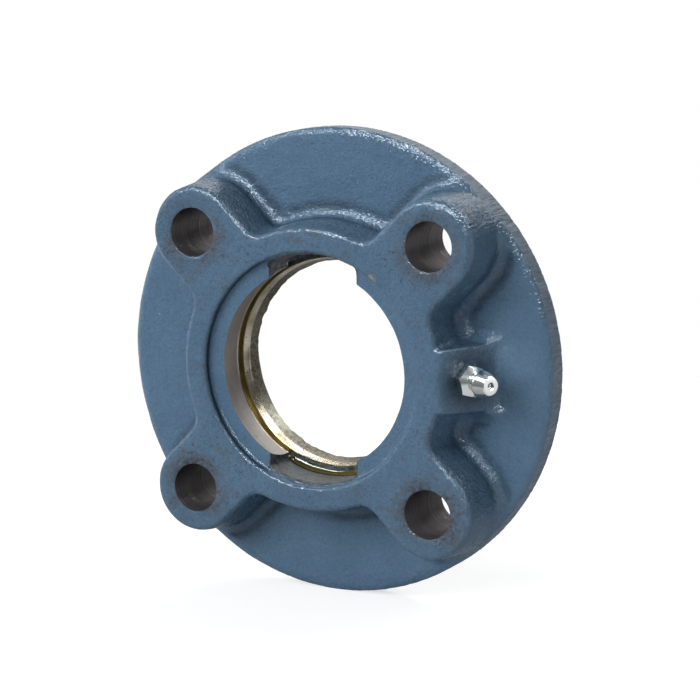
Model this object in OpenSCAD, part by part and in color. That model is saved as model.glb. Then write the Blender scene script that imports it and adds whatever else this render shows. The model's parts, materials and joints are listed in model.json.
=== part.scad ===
// Flanged cartridge bearing housing: a cast iron disc with a four-eared hub in front,
// a spigot behind, a spherical seat for a self-aligning insert and a grease nipple.
// The bore axis is Y. The mounting face is at Y = 0 and the front face looks along -Y.
// Inside the modules a height h counts from the mounting face towards the front.

/* [Flange] */
// Outer diameter of the ground rim
flange_d = 115; // [112:0.5:120]
// Thickness of the disc, from the mounting face to its cast front
flange_t = 7; // [6:0.5:9]
// Cast round on the front corner of the disc
rim_round = 3; // [2:0.5:4]
// Radial stock that grinding takes off the cast rim
grind_stock = 0.7; // [0.4:0.1:1.2]
// Chamfer on the rear corner of the rim
rear_chamfer = 0.6; // [0.3:0.1:1]
// Diameter of the locating spigot behind the mounting face
spigot_d = 70; // [66:0.5:74]
// Length of the spigot
spigot_len = 6; // [4:0.5:8]
// Lead chamfer of the spigot
spigot_chamfer = 1; // [0.5:0.25:1.5]

/* [Hub and ears] */
// Height of the front face over the mounting face
front_h = 21; // [20:0.5:23]
// Radius of the hub at the front face
hub_r = 34.5; // [33.5:0.25:36]
// Radius of each ear about its bolt hole
ear_r = 11; // [10:0.25:12]
// Concave plan radius between an ear and the hub
plan_fillet = 4.8; // [4.5:0.1:5.5]
// Draft angle of the cast walls
draft = 6; // [4:0.5:7]
// Round on the front edges of the casting
edge_round = 1.3; // [0.8:0.1:1.8]
// Fillet where the cast walls meet the disc
foot_fillet = 2.3; // [1.5:0.1:2.5]

/* [Bolt holes] */
// Diameter of the bolt circle
bolt_circle_d = 90; // [88:0.5:92]
// Diameter of the bolt holes
bolt_hole_d = 12; // [10:0.5:13]

/* [Bearing seat] */
// Diameter of the spherical seat
seat_d = 52; // [51:0.25:53]
// Width of the seat along the bore
seat_w = 17; // [15:0.5:18]
// Height of the seat's centre over the mounting face
seat_h = 10; // [9.5:0.25:11]
// Diameter of the cast recess in front of the seat
recess_d = 57.2; // [56:0.2:59]
// Round on the mouth of the recess
recess_round = 0.8; // [0.4:0.1:1.2]
// Cast fillet round the floor of the recess
recess_fillet = 0.8; // [0.3:0.1:1]
// Diameter of the cast relief behind the seat
relief_d = 56; // [54:0.5:60]
// Width of the two slots that let the bearing in
slot_w = 23.5; // [20:0.5:25]
// Diameter of the floor of these slots
slot_floor_d = 55.6; // [54.4:0.2:56.6]
// Round in the long corners of the slots
slot_round = 1; // [0.5:0.1:1.5]
// Width of the grease groove in the seat
groove_w = 2.3; // [1.5:0.1:2.6]
// Depth of the grease groove
groove_depth = 1; // [0.6:0.1:1.2]
// Distance of the groove behind the seat's centre
groove_back = 1.95; // [1.6:0.05:2.2]

/* [Nipple boss] */
// Width of the boss at the front face
boss_w = 15.2; // [13.2:0.5:17.2]
// Draft angle of the boss's two sides
boss_draft = 2.5; // [1:0.5:6]
// How far the boss reaches past the hub at the front face
boss_reach = 0.8; // [0.5:0.1:2]
// Lean of its outer face away from the bore axis
boss_lean = 30; // [25:1:35]
// Round on the long edges of the boss
boss_round = 0.8; // [0.5:0.1:0.9]
// Fillet between the boss and the hub at the front face
boss_fillet = 1; // [0.6:0.1:1]

/* [Grease nipple] */
// Thread diameter of the nipple
thread_d = 6; // [5:0.25:6.25]
// Length of the threaded shank
shank_len = 5.5; // [4.5:0.25:6]
// Lead chamfer of the shank
shank_lead = 0.5; // [0.3:0.1:0.8]
// Radial clearance of the shank in its hole
thread_gap = 0.03; // [0.02:0.01:0.05]
// Width of the hexagon across its flats
hex_af = 7; // [7:0.25:8]
// Height of the hexagon at the neck, the top of its cone
hex_h = 3; // [2.7:0.1:3.5]
// Angle of the cone turned on the front of the hexagon
hex_cone = 30; // [20:1:32]
// Turn of the hexagon about its axis, as the thread came to rest
hex_turn = 15; // [0:5:55]
// Diameter of the neck under the head
neck_d = 4.4; // [4.2:0.1:5]
// Length of the neck
neck_len = 0.9; // [0.6:0.1:2]
// Largest diameter of the head
head_d = 6.5; // [6.25:0.05:6.75]
// Height of the head over the neck
head_h = 5.3; // [5:0.1:5.8]
// Length of the cone behind the head's collar, where the grease coupler grips
head_back = 2; // [1.2:0.1:2.4]
// Length of the collar at the largest diameter
collar_len = 0.5; // [0.3:0.1:1]
// Diameter of the head's flat tip
tip_d = 3.9; // [3.4:0.1:4.2]
// Round on the edge of the tip
tip_round = 0.4; // [0.2:0.05:0.5]
// Diameter of the drilling inside
drilling_d = 2.7; // [2.6:0.05:2.9]
// Diameter of the hole in the tip
inlet_d = 1.7; // [1.4:0.05:1.8]
// Depth of the hole in the tip
inlet_len = 0.6; // [0.4:0.1:1]
// Diameter of the hole in the crimped end of the shank
crimp_d = 1.7; // [1.5:0.05:1.8]
// Thickness of the crimped lip that holds the spring
crimp_len = 0.5; // [0.4:0.1:0.8]
// Depth of the threaded hole past the end of the shank
thread_run = 1; // [0.5:0.25:2]
// Diameter of the passage from the nipple to the groove
passage_d = 3; // [2:0.25:3.5]
// How far behind the groove's middle this passage meets the seat
passage_back = 1.3; // [0:0.1:1.8]

/* [Check valve] */
// Diameter of the check ball
ball_d = 2.4; // [2.3:0.05:2.5]
// Gap between the ball and its conical seat
ball_gap = 0.04; // [0.03:0.01:0.06]
// Wire diameter of the spring
wire_d = 0.25; // [0.2:0.01:0.3]
// Mean diameter of the spring
coil_d = 2; // [1.9:0.05:2.1]
// Number of open turns
open_turns = 7; // [5:1:8]
// Gap between the wires of a closed end turn
closed_gap = 0.04; // [0.02:0.01:0.08]
// Gap between the spring and what it presses on
spring_gap = 0.05; // [0.03:0.01:0.08]

/* [Hidden] */
$fn = 96;

EAR_ANGLES = [45, 135, 225, 315];
// How far a cut runs past the solid
past = 1;
flange_r = flange_d / 2;
cast_r = flange_r + grind_stock;
bolt_r = bolt_circle_d / 2;
// Where the walls end, buried in the disc
root_h = flange_t / 2;
// Crest of the edge rounds, which the front face trims to one true plane
crest_h = front_h + edge_round / 25;
// Steps of the cast rounds and of the parts of the outline
round_steps = 3;
fillet_steps = 3;
ear_steps = 9;
hub_steps = 5;
gap_steps = 2;
corner_steps = 2;
// Angle at which a foot fillet runs out into the disc
run_out = 15;
// Where the round of the recess's mouth ends, 5 degrees past the front face
mouth_end = 95;

// Centre of the concave plan fillet, in a frame with its ear along +X
fillet_y = ear_r + plan_fillet;
fillet_x = sqrt(pow(hub_r + plan_fillet, 2) - pow(fillet_y, 2));
// Half the angle that an ear and its fillets take from the hub
ear_half_angle = atan2(fillet_y, fillet_x);

seat_front = seat_h + seat_w / 2;
seat_rear = seat_h - seat_w / 2;
groove_h = seat_h - groove_back;
slot_end = groove_h - groove_w / 2;

// The nipple's frame: its origin on the boss, where the axis leaves it. The leaning face
// of the boss starts at the crest.
boss_x = hub_r + boss_reach;
groove_r = seat_d / 2;
passage_h = groove_h - passage_back;
axis_out = (boss_x - groove_r) * cos(boss_lean) + (crest_h - passage_h) * sin(boss_lean);
nipple_x = groove_r + axis_out * cos(boss_lean);
nipple_h = passage_h + axis_out * sin(boss_lean);

// Heights along the nipple, from the boss outwards
neck_end = hex_h + neck_len;
tip_z = neck_end + head_h;
ball_r = ball_d / 2;
// The ball's seat is a 45 degree cone
seat_cone_top = tip_z - inlet_len;
seat_cone_base = seat_cone_top - (drilling_d - inlet_d) / 2;
ball_z = seat_cone_base + drilling_d / 2 - (ball_r + ball_gap) * sqrt(2);
spring_low = -shank_len + crimp_len + wire_d / 2 + spring_gap;
spring_reach = ball_r + wire_d / 2 + spring_gap;
spring_high = ball_z - sqrt(pow(spring_reach, 2) - pow(coil_d / 2, 2));

function arc(x, y, r, from, to, steps) =
    [for (i = [0 : steps]) let (a = from + (to - from) * i / steps) [x + r * cos(a), y + r * sin(a)]];

// Outer side of a cast wall, as a list of [offset from the front outline, height], from
// the crest down to the buried toe: the edge round, the leaning wall, the foot fillet
function wall(lean) =
    let (
        edge_x = edge_round * (tan(lean) - 1 / cos(lean)),
        foot_h = flange_t + foot_fillet * cos(run_out),
        foot_x = (crest_h - foot_h) * tan(lean) + foot_fillet / cos(lean)
    )
    concat(
        arc(edge_x, crest_h - edge_round, edge_round, 90, lean, round_steps),
        arc(foot_x, foot_h, foot_fillet, 180 + lean, 270, round_steps),
        [[foot_x, root_h]]
    );

DRAFT_WALL = wall(draft);
BOSS_WALL = wall(boss_lean);
SIDE_WALL = wall(boss_draft);

function mix(a, b, t) = a + (b - a) * t;
function turned(p, a) = [p[0] * cos(a) - p[1] * sin(a), p[0] * sin(a) + p[1] * cos(a), p[2]];
function raised(points, h) = [for (p = points) [p[0], p[1], h]];
function reversed(points) = [for (i = [len(points) - 1 : -1 : 0]) points[i]];
function mirrored(points) = reversed([for (p = points) [p[0], -p[1], p[2]]]);

// One ear along +X with its plan fillets, offset outwards by s. The fillet's centre stays
// where it is, so its radius shrinks as the walls spread.
function ear_outline(s) = concat(
    arc(fillet_x, -fillet_y, plan_fillet - s, 180 - ear_half_angle, 90, fillet_steps),
    arc(bolt_r, 0, ear_r + s, -90, 90, ear_steps),
    arc(fillet_x, fillet_y, plan_fillet - s, 270, 180 + ear_half_angle, fillet_steps)
);

// The hub between two angles, without the end points
function hub_outline(s, from, to, steps) =
    [for (i = [1 : steps - 1]) let (a = mix(from, to, i / steps)) [(hub_r + s) * cos(a), (hub_r + s) * sin(a)]];

// The upper half of the boss on +X for one level of the walls: half its leaning face, its
// corner, and the fillet into the hub, which opens with the depth
function half_boss(level) =
    let (
        s = DRAFT_WALL[level][0],
        h = DRAFT_WALL[level][1],
        face_x = boss_x + BOSS_WALL[level][0],
        face_h = BOSS_WALL[level][1],
        side_y = boss_w / 2 + SIDE_WALL[level][0],
        fillet = boss_fillet + (crest_h - h) * tan(draft),
        centre_y = side_y + fillet,
        centre_x = sqrt(pow(hub_r + s + fillet, 2) - pow(centre_y, 2)),
        corner = arc(face_x - boss_round, side_y - boss_round, boss_round, 0, 90, corner_steps)
    )
    concat(
        [[face_x, 0, face_h]],
        [for (i = [0 : corner_steps])
            [corner[i][0], corner[i][1], mix(face_h, h, i / corner_steps)]],
        raised(arc(centre_x, centre_y, fillet, 270, 180 + atan2(centre_y, centre_x), fillet_steps), h)
    );

// One closed ring of the casting's front: the boss, then hub and ears in turn
function ring(level) =
    let (
        s = DRAFT_WALL[level][0],
        h = DRAFT_WALL[level][1],
        boss = half_boss(level),
        boss_end = boss[len(boss) - 1],
        boss_angle = atan2(boss_end[1], boss_end[0]),
        ear = raised(ear_outline(s), h),
        ear_from = EAR_ANGLES[0] - ear_half_angle,
        first_gap = raised(hub_outline(s, boss_angle, ear_from, gap_steps), h),
        gap = raised(hub_outline(s, ear_half_angle, 90 - ear_half_angle, hub_steps), h)
    )
    concat(
        boss,
        first_gap,
        [for (i = [0 : 2]) each concat(
            [for (p = ear) turned(p, EAR_ANGLES[i])],
            [for (p = gap) turned(p, EAR_ANGLES[i])]
        )],
        [for (p = ear) turned(p, EAR_ANGLES[3])],
        mirrored(first_gap),
        [for (i = [0 : len(boss) - 2]) mirrored(boss)[i]]
    );

// Hub, ears and boss as one loft through the rings of their walls
module hub_and_ears() {
    rings = [for (level = [0 : len(DRAFT_WALL) - 1]) ring(level)];
    count = len(rings[0]);
    last = len(rings) - 1;
    sides = [
        for (j = [0 : last - 1])
            for (i = [0 : count - 1])
                let (
                    a = j * count + i,
                    b = j * count + (i + 1) % count
                )
                each [[a, b, b + count], [a, b + count, a + count]]
    ];
    front = [for (i = [count - 1 : -1 : 0]) i];
    root = [for (i = [0 : count - 1]) last * count + i];
    polyhedron(points = [for (r = rings) each r], faces = concat(sides, [front], [root]), convexity = 6);
}

module disc() {
    rotate_extrude()
        polygon(concat(
            [[0, 0], [cast_r, 0]],
            arc(cast_r - rim_round, flange_t - rim_round, rim_round, 0, 90, 2 * round_steps),
            [[0, flange_t]]
        ));
}

module spigot() {
    rotate_extrude()
        polygon([
            [0, -spigot_len],
            [spigot_d / 2 - spigot_chamfer, -spigot_len],
            [spigot_d / 2, spigot_chamfer - spigot_len],
            [spigot_d / 2, root_h],
            [0, root_h]
        ]);
}

// What the grinding of the rim, the chamfer behind it and the trimmed front face leave
module trimmed_body() {
    rotate_extrude()
        polygon([
            [0, -spigot_len - past],
            [spigot_d / 2 + past, -spigot_len - past],
            [spigot_d / 2 + past, 0],
            [flange_r - rear_chamfer, 0],
            [flange_r, rear_chamfer],
            [flange_r, front_h],
            [0, front_h]
        ]);
}

module bolt_holes() {
    for (a = EAR_ANGLES)
        rotate(a)
            translate([bolt_r, 0, -past])
                cylinder(d = bolt_hole_d, h = front_h + 2 * past);
}

// The spherical seat with the cast recess in front, the relief behind and the groove
module seat_cut() {
    recess_r = recess_d / 2;
    // The two rounds share the depth of the recess
    most = (front_h - seat_front) / 3;
    mouth = min(recess_round, most);
    fillet = min(recess_fillet, most);
    translate([0, 0, seat_h])
        sphere(d = seat_d);
    rotate_extrude()
        polygon(concat(
            [[0, seat_front]],
            arc(recess_r - fillet, seat_front + fillet, fillet, 270, 360, round_steps),
            arc(recess_r + mouth, front_h - mouth, mouth, 180, mouth_end, round_steps),
            [[recess_r + mouth, front_h + past], [0, front_h + past]]
        ));
    translate([0, 0, -spigot_len - past])
        cylinder(d = relief_d, h = spigot_len + past + seat_rear);
    translate([0, 0, groove_h - groove_w / 2])
        cylinder(r = seat_d / 2 + groove_depth, h = groove_w);
}

// The two slots at the top and bottom of the seat, open to the front
module loading_slots() {
    slot_depth = seat_front - slot_end + past;
    floor_r = slot_floor_d / 2;
    corner_x = slot_w / 2 - slot_round;
    corner_y = sqrt(pow(floor_r - slot_round, 2) - pow(corner_x, 2));
    translate([0, 0, slot_end])
        linear_extrude(slot_depth) {
            intersection() {
                circle(r = floor_r);
                square([2 * corner_x, slot_floor_d + past], center = true);
            }
            square([slot_w, 2 * corner_y], center = true);
            for (x = [-corner_x, corner_x])
                for (y = [-corner_y, corner_y])
                    translate([x, y])
                        circle(r = slot_round);
        }
}

module at_nipple() {
    translate([nipple_x, 0, nipple_h])
        rotate([0, 90 - boss_lean, 0])
            children();
}

// The threaded hole for the nipple and the passage from it to the groove
module nipple_drilling() {
    depth = shank_len + thread_run;
    at_nipple() {
        translate([0, 0, -depth])
            cylinder(d = thread_d, h = depth + past);
        translate([0, 0, -axis_out])
            cylinder(d = passage_d, h = axis_out);
    }
}

module housing() {
    color([0.24, 0.37, 0.49])
        rotate([90, 0, 0])
            difference() {
                intersection() {
                    union() {
                        disc();
                        spigot();
                        hub_and_ears();
                    }
                    trimmed_body();
                }
                bolt_holes();
                seat_cut();
                loading_slots();
                nipple_drilling();
            }
}

// The hexagon, with a flat cone turned on its front that cuts each flat in a curve
module nipple_hexagon() {
    corner_r = hex_af / 2 / cos(30);
    blank_r = corner_r + past;
    intersection() {
        rotate(-hex_turn)
            cylinder(r = corner_r, h = hex_h, $fn = 6);
        rotate_extrude()
            polygon([
                [0, 0],
                [blank_r, 0],
                [blank_r, hex_h - (blank_r - neck_d / 2) * tan(hex_cone)],
                [neck_d / 2, hex_h],
                [0, hex_h]
            ]);
    }
}

// Everything on the nipple that is turned: shank, neck and head
module nipple_turning() {
    shank_r = thread_d / 2 - thread_gap;
    head_r = head_d / 2;
    tip_r = tip_d / 2;
    collar_low = neck_end + head_back;
    rotate_extrude()
        polygon(concat(
            [
                [0, -shank_len],
                [shank_r - shank_lead, -shank_len],
                [shank_r, shank_lead - shank_len],
                [shank_r, 0],
                [neck_d / 2, 0],
                [neck_d / 2, neck_end],
                [head_r, collar_low],
                [head_r, collar_low + collar_len]
            ],
            arc(tip_r, tip_z - tip_round, tip_round, 30, 90, corner_steps),
            [[0, tip_z]]
        ));
}

// The drilling from end to end, with the conical seat of the ball
module nipple_bore() {
    rotate_extrude()
        polygon([
            [0, -shank_len - past],
            [crimp_d / 2, -shank_len - past],
            [crimp_d / 2, -shank_len + crimp_len],
            [drilling_d / 2, -shank_len + crimp_len],
            [drilling_d / 2, seat_cone_base],
            [inlet_d / 2, seat_cone_top],
            [inlet_d / 2, tip_z + past],
            [0, tip_z + past]
        ]);
}

module grease_nipple_body() {
    color([0.82, 0.84, 0.85])
        rotate([90, 0, 0])
            at_nipple()
                difference() {
                    union() {
                        nipple_hexagon();
                        nipple_turning();
                    }
                    nipple_bore();
                }
}

module grease_nipple_ball() {
    color([0.75, 0.76, 0.78])
        rotate([90, 0, 0])
            at_nipple()
                translate([0, 0, ball_z])
                    sphere(d = ball_d);
}

// A helix of round wire. Each end has one closed turn, and the turns between are open.
module grease_nipple_spring() {
    sides = 6;
    steps = 12;
    closed_pitch = wire_d + closed_gap;
    turns = open_turns + 2;
    open_pitch = (spring_high - spring_low - 2 * closed_pitch) / open_turns;
    rings = turns * steps;
    function rise(t) = min(t, 1) * closed_pitch
        + min(max(t - 1, 0), open_turns) * open_pitch
        + max(t - 1 - open_turns, 0) * closed_pitch;
    points = [
        for (i = [0 : rings])
            let (t = i / steps, a = 360 * t)
            for (k = [0 : sides - 1])
                let (
                    b = 360 * k / sides,
                    r = coil_d / 2 + wire_d / 2 * cos(b)
                )
                [r * cos(a), r * sin(a), spring_low + rise(t) + wire_d / 2 * sin(b)]
    ];
    walls = [
        for (i = [0 : rings - 1])
            for (k = [0 : sides - 1])
                let (
                    a = i * sides + k,
                    b = i * sides + (k + 1) % sides
                )
                each [[a, b, b + sides], [a, b + sides, a + sides]]
    ];
    first = [for (k = [sides - 1 : -1 : 0]) k];
    last = [for (k = [0 : sides - 1]) rings * sides + k];
    color([0.62, 0.63, 0.65])
        rotate([90, 0, 0])
            at_nipple()
                polyhedron(points = points, faces = concat(walls, [first], [last]), convexity = 4);
}

housing();
grease_nipple_body();
grease_nipple_ball();
grease_nipple_spring();
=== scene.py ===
# %% [markdown]
# This notebook dresses a flanged bearing housing. The engineering model gives every piece its
# place and its real size. Here each piece gets the skin of the real one: a sand casting with
# blue gloss paint, bare iron where tools have cut it, and a bright grease nipple.
# We begin by loading the engineering model as a fixed frame, and we note its box, because
# nothing that we add may reach outside it.

# %% Load the frame
import json
import math

import bmesh
import bpy
import numpy as np
import openvdb
from mathutils import Matrix, Vector


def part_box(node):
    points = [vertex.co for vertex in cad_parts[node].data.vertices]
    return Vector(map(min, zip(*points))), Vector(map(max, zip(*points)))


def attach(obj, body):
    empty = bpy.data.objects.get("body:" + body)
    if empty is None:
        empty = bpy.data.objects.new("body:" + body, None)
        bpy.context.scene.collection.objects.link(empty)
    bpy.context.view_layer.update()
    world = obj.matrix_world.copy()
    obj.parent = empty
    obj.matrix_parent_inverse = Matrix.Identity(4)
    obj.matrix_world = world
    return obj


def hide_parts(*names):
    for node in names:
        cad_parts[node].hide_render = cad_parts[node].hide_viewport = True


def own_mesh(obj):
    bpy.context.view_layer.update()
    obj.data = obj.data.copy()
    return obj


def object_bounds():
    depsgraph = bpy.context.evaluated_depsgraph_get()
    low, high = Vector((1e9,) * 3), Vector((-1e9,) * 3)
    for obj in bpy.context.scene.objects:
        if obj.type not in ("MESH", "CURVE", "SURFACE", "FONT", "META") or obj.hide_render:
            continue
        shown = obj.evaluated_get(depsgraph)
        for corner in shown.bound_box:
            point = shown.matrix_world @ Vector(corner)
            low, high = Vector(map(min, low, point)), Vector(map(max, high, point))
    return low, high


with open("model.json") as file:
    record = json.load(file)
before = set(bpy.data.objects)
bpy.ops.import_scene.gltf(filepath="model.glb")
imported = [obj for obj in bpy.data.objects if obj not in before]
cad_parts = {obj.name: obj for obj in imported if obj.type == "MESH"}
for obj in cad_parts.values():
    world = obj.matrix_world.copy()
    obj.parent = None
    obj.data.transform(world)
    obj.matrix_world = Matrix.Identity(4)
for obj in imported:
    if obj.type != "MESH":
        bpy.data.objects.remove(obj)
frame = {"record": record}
CAD_BOX = [list(corner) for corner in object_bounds()]
print("engineering model from", CAD_BOX[0], "to", CAD_BOX[1])

# %% [markdown]
# The sizes are written in millimetres, as on a workshop drawing. What the frame knows is read
# from it: the rim and the front face from its box, the bolt circle and the spigot from its
# mounts. The rest are the sizes of the casting and of the seat. Heights count from the
# mounting face towards the front, along the bore.

# %% Sizes of the housing
MM = 0.001
MOUNTS = {mount["name"]: mount for mount in frame["record"]["mounts"]}
housing_low, housing_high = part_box("housing")

RIM_R = housing_high.x / MM
FRONT_H = -housing_low.y / MM
SPIGOT_LEN = housing_high.y / MM
BOLT_R = MOUNTS["mounting_bolts"]["dims"]["pcd_mm"] / 2
HOLE_R = MOUNTS["mounting_bolts"]["dims"]["hole_r_mm"]
SPIGOT_R = MOUNTS["spigot"]["dims"]["r_mm"]
SEAT_H = -MOUNTS["bearing_seat"]["pos_m"][1] / MM

DISC_T = 7.0
CAST_RIM_R = RIM_R + 0.7
RIM_ROUND = 3.0
CAST_FRONT_H = FRONT_H - 0.15
HUB_R = 34.5
EAR_R = 11.0
PLAN_FILLET = 4.8
DRAFT = math.radians(6)
EDGE_ROUND = 1.3
FOOT_FILLET = 2.6

SEAT_R = 26.0
SEAT_W = 17.0
SEAT_FRONT = SEAT_H + SEAT_W / 2
SEAT_REAR = SEAT_H - SEAT_W / 2
RECESS_R = 28.6
RECESS_ROUND = 1.0
RELIEF_R = 28.0
SLOT_W = 23.5
SLOT_FLOOR_R = 27.8
GROOVE_R = SEAT_R + 1.0
GROOVE_W = 2.3
GROOVE_H = SEAT_H - 1.95
SLOT_END = GROOVE_H - GROOVE_W / 2

BOSS_X = HUB_R + 0.82
BOSS_W = 15.2
BOSS_LEAN = math.radians(30)
BOSS_DRAFT = math.radians(2.5)
BOSS_ROUND = 0.6
print("rim radius", RIM_R, "front face at", FRONT_H, "bolt circle radius", BOLT_R)

# %% [markdown]
# A sand casting has no sharp edges: metal shrinks back from every outer corner and sand
# washes into every inner one. A mesh of flat faces with bevels would show its construction at
# the places where three edges meet. So the raw casting is described as a distance field: a
# number at each point of a grid that says how far that point lies from the skin, negative
# inside the metal. Two such fields join with a rounded corner of any radius by a short
# formula, and the blends flow into each other as they do in a foundry pattern.

# %% Rounded joins of distance fields
def rounded_and(a, b, radius):
    """Where two bodies overlap, with the outer corner rounded."""
    over_a = np.maximum(radius + a, 0)
    over_b = np.maximum(radius + b, 0)
    return np.minimum(-radius, np.maximum(a, b)) + np.sqrt(over_a * over_a + over_b * over_b)


def rounded_or(a, b, radius):
    """Two bodies as one, with the inner corner filled."""
    return -rounded_and(-a, -b, radius)


def cut_away(body, hollow, radius):
    """The body without the hollow, with a rounded mouth."""
    return rounded_and(body, -hollow, radius)


# %% [markdown]
# A distance field lives on a grid of points. Steps of 0.4 mm are fine enough for the smallest
# rounding of this casting, and coarse enough to be worked out in seconds. The three directions
# are side and up across the casting, and height along the bore.

# %% The grid around the casting
STEP = 0.4
LOW = np.array([-60.0, -60.0, -9.0])
HIGH = np.array([60.0, 60.0, 22.6])
COUNT = np.ceil((HIGH - LOW) / STEP).astype(int) + 1


def axis_values(i):
    """The grid's places along one direction, shaped to spread over the other two."""
    values = (LOW[i] + STEP * np.arange(COUNT[i])).astype(np.float32)
    shape = [1, 1, 1]
    shape[i] = -1
    return values.reshape(shape)


side, up, height = axis_values(0), axis_values(1), axis_values(2)
radial = np.sqrt(side * side + up * up)
print("grid of", COUNT, "points,", STEP, "mm apart")

# %% [markdown]
# Seen from the front, the casting is a round hub with four ears. Because it is the same in
# each quarter, we fold the plane into half a quarter, with the ear's axis along u. The ear is
# a capsule, and between ear and hub lies a concave arc whose centre we can work out.

# %% The plan of hub and ears
FILLET_Y = EAR_R + PLAN_FILLET
FILLET_X = math.sqrt((HUB_R + PLAN_FILLET) ** 2 - FILLET_Y**2)
EAR_HALF_ANGLE = math.atan2(FILLET_Y, FILLET_X)


def hub_and_ears_plan():
    """Distance in the plane from the outline of hub, ears and the fillets between them."""
    u = (np.abs(side) + np.abs(up)) / math.sqrt(2)
    v = np.abs(np.abs(side) - np.abs(up)) / math.sqrt(2)
    hub = radial - HUB_R
    ear = np.hypot(u - np.clip(u, FILLET_X, BOLT_R), v) - EAR_R
    fillet = PLAN_FILLET - np.hypot(u - FILLET_X, v - FILLET_Y)
    in_fillet = (u < FILLET_X) & (np.arctan2(v, u) < EAR_HALF_ANGLE)
    return np.where(in_fillet, fillet, np.minimum(hub, ear))


def boss_body():
    """The boss of the grease nipple: two drafted sides and a face that leans outwards."""
    fall = CAST_FRONT_H - height
    sides = (np.abs(up) - BOSS_W / 2 - fall * math.tan(BOSS_DRAFT)) * math.cos(BOSS_DRAFT)
    face = (side - BOSS_X - fall * math.tan(BOSS_LEAN)) * math.cos(BOSS_LEAN)
    return np.maximum(rounded_and(sides, face, BOSS_ROUND), -side)


print("centre of the plan's fillet:", round(FILLET_X, 2), "along the ear,", round(FILLET_Y, 2), "beside it")

# %% [markdown]
# No two castings are alike. Sand moves a little when the iron comes in, so the faces are
# faintly wavy and the edges wander. We make this with random numbers that are smoothed over a
# chosen distance. The seed is fixed, so every run gives the same casting.

# %% Waviness of sand-cast faces
def waviness(length, seed):
    """Smooth random values with a spread of 1, which change over about this length in mm."""
    rough = np.random.default_rng(seed).standard_normal(tuple(COUNT)).astype(np.float32)
    spectrum = np.fft.rfftn(rough)
    waves = np.meshgrid(
        np.fft.fftfreq(COUNT[0], STEP),
        np.fft.fftfreq(COUNT[1], STEP),
        np.fft.rfftfreq(COUNT[2], STEP),
        indexing="ij",
        sparse=True,
    )
    squared = sum(wave * wave for wave in waves)
    spectrum *= np.exp(-squared * (math.pi * length) ** 2 / 4)
    smooth = np.fft.irfftn(spectrum, s=tuple(COUNT)).astype(np.float32)
    return smooth / smooth.std()


# %% [markdown]
# The casting is built up like its wooden pattern: hub, ears and boss in front, the disc behind
# them, then the hollows that sand cores leave. All walls lean out towards the mounting face,
# so that the pattern can be drawn from the sand. The fillet at their foot is wider beside the
# boss and nearly sharp under its face, and one ear has a rounder edge than the others.
# Each hollow keeps some metal for the tools, which cut their true surfaces later.

# %% The raw casting
BOSS_JOIN = 0.9
BOSS_JOIN_GROWTH = 0.22
BOSS_JOIN_MOST = 4.0
SOFT_EAR_MORE = 1.1
SOFT_EAR_SPAN = (2, 10)
BESIDE_BOSS_MORE = 1.2
BESIDE_BOSS_SPAN = (25, 8)
UNDER_BOSS_LESS = 2.8
UNDER_BOSS_SPAN = (36, 4)
SLOT_CORNER_ROUND = 1.0
SLOT_END_ROUND = 1.6
RELIEF_ROUND = 0.8
MOUTH_ROUND = 0.4
SEAT_ALLOWANCE = 2.4
SPIGOT_ALLOWANCE = 1.5


def share(value, start, over):
    """Goes evenly from 0 at the start to 1 after this many mm, backwards if over is negative."""
    return np.clip((value - start) / over, 0, 1)


def foot_fillet():
    """Wider beside the boss, fading out 8 to 22 mm from its middle. Nearly sharp under its face."""
    beside_boss = share(side, *BESIDE_BOSS_SPAN) * np.clip(1.6 - np.abs(up) / 14, 0, 1)
    under_face = share(np.abs(up), BOSS_W / 2 + 1, -2) * share(side, *UNDER_BOSS_SPAN)
    return FOOT_FILLET + BESIDE_BOSS_MORE * beside_boss - UNDER_BOSS_LESS * under_face


def hub_on_disc():
    """The solid form: hub, ears and boss on the disc. The ear at the upper right is worn."""
    fall = CAST_FRONT_H - height
    walls = (hub_and_ears_plan() - fall * math.tan(DRAFT)) * math.cos(DRAFT)
    boss_join = np.clip(BOSS_JOIN + BOSS_JOIN_GROWTH * fall, BOSS_JOIN, BOSS_JOIN_MOST)
    crown = rounded_or(walls, boss_body(), boss_join)
    soft_ear = share(side + up - 2 * BOLT_R / math.sqrt(2), *SOFT_EAR_SPAN)
    crown = rounded_and(crown, height - CAST_FRONT_H, EDGE_ROUND + SOFT_EAR_MORE * soft_ear)
    disc = rounded_and(radial - CAST_RIM_R, height - DISC_T, RIM_ROUND)
    return rounded_or(crown, disc, foot_fillet())


def raw_casting():
    """The solid form with recess, slots, bore and relief hollowed out."""
    body = hub_on_disc()
    recess = rounded_and(radial - RECESS_R, SEAT_FRONT - height, RECESS_ROUND)
    body = cut_away(body, recess, RECESS_ROUND)
    slot_plan = rounded_and(np.abs(side) - SLOT_W / 2, radial - SLOT_FLOOR_R, SLOT_CORNER_ROUND)
    slots = rounded_and(slot_plan, SLOT_END - height, SLOT_END_ROUND)
    body = cut_away(body, slots, MOUTH_ROUND)
    core = radial - (SEAT_R - SEAT_ALLOWANCE)
    body = cut_away(body, core, MOUTH_ROUND)
    relief_wall = radial - RELIEF_R - (SEAT_REAR - height) * math.tan(DRAFT)
    relief = rounded_and(relief_wall, height - SEAT_REAR, RELIEF_ROUND)
    body = cut_away(body, relief, MOUTH_ROUND)
    return np.maximum(body, -SPIGOT_LEN - SPIGOT_ALLOWANCE - height)


LONG_WAVES = 0.055
SHORT_WAVES = 0.03
RAGGED_EDGE = 0.16
field = raw_casting()
field += LONG_WAVES * waviness(14, seed=3) + SHORT_WAVES * waviness(3.2, seed=5)
behind_seat = np.exp(-(((height - SEAT_REAR) / 1.4) ** 2)) * (radial < SEAT_R)
field += RAGGED_EDGE * waviness(1.2, seed=9) * behind_seat
print("distance field from", float(field.min()), "to", float(field.max()), "mm")

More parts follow.
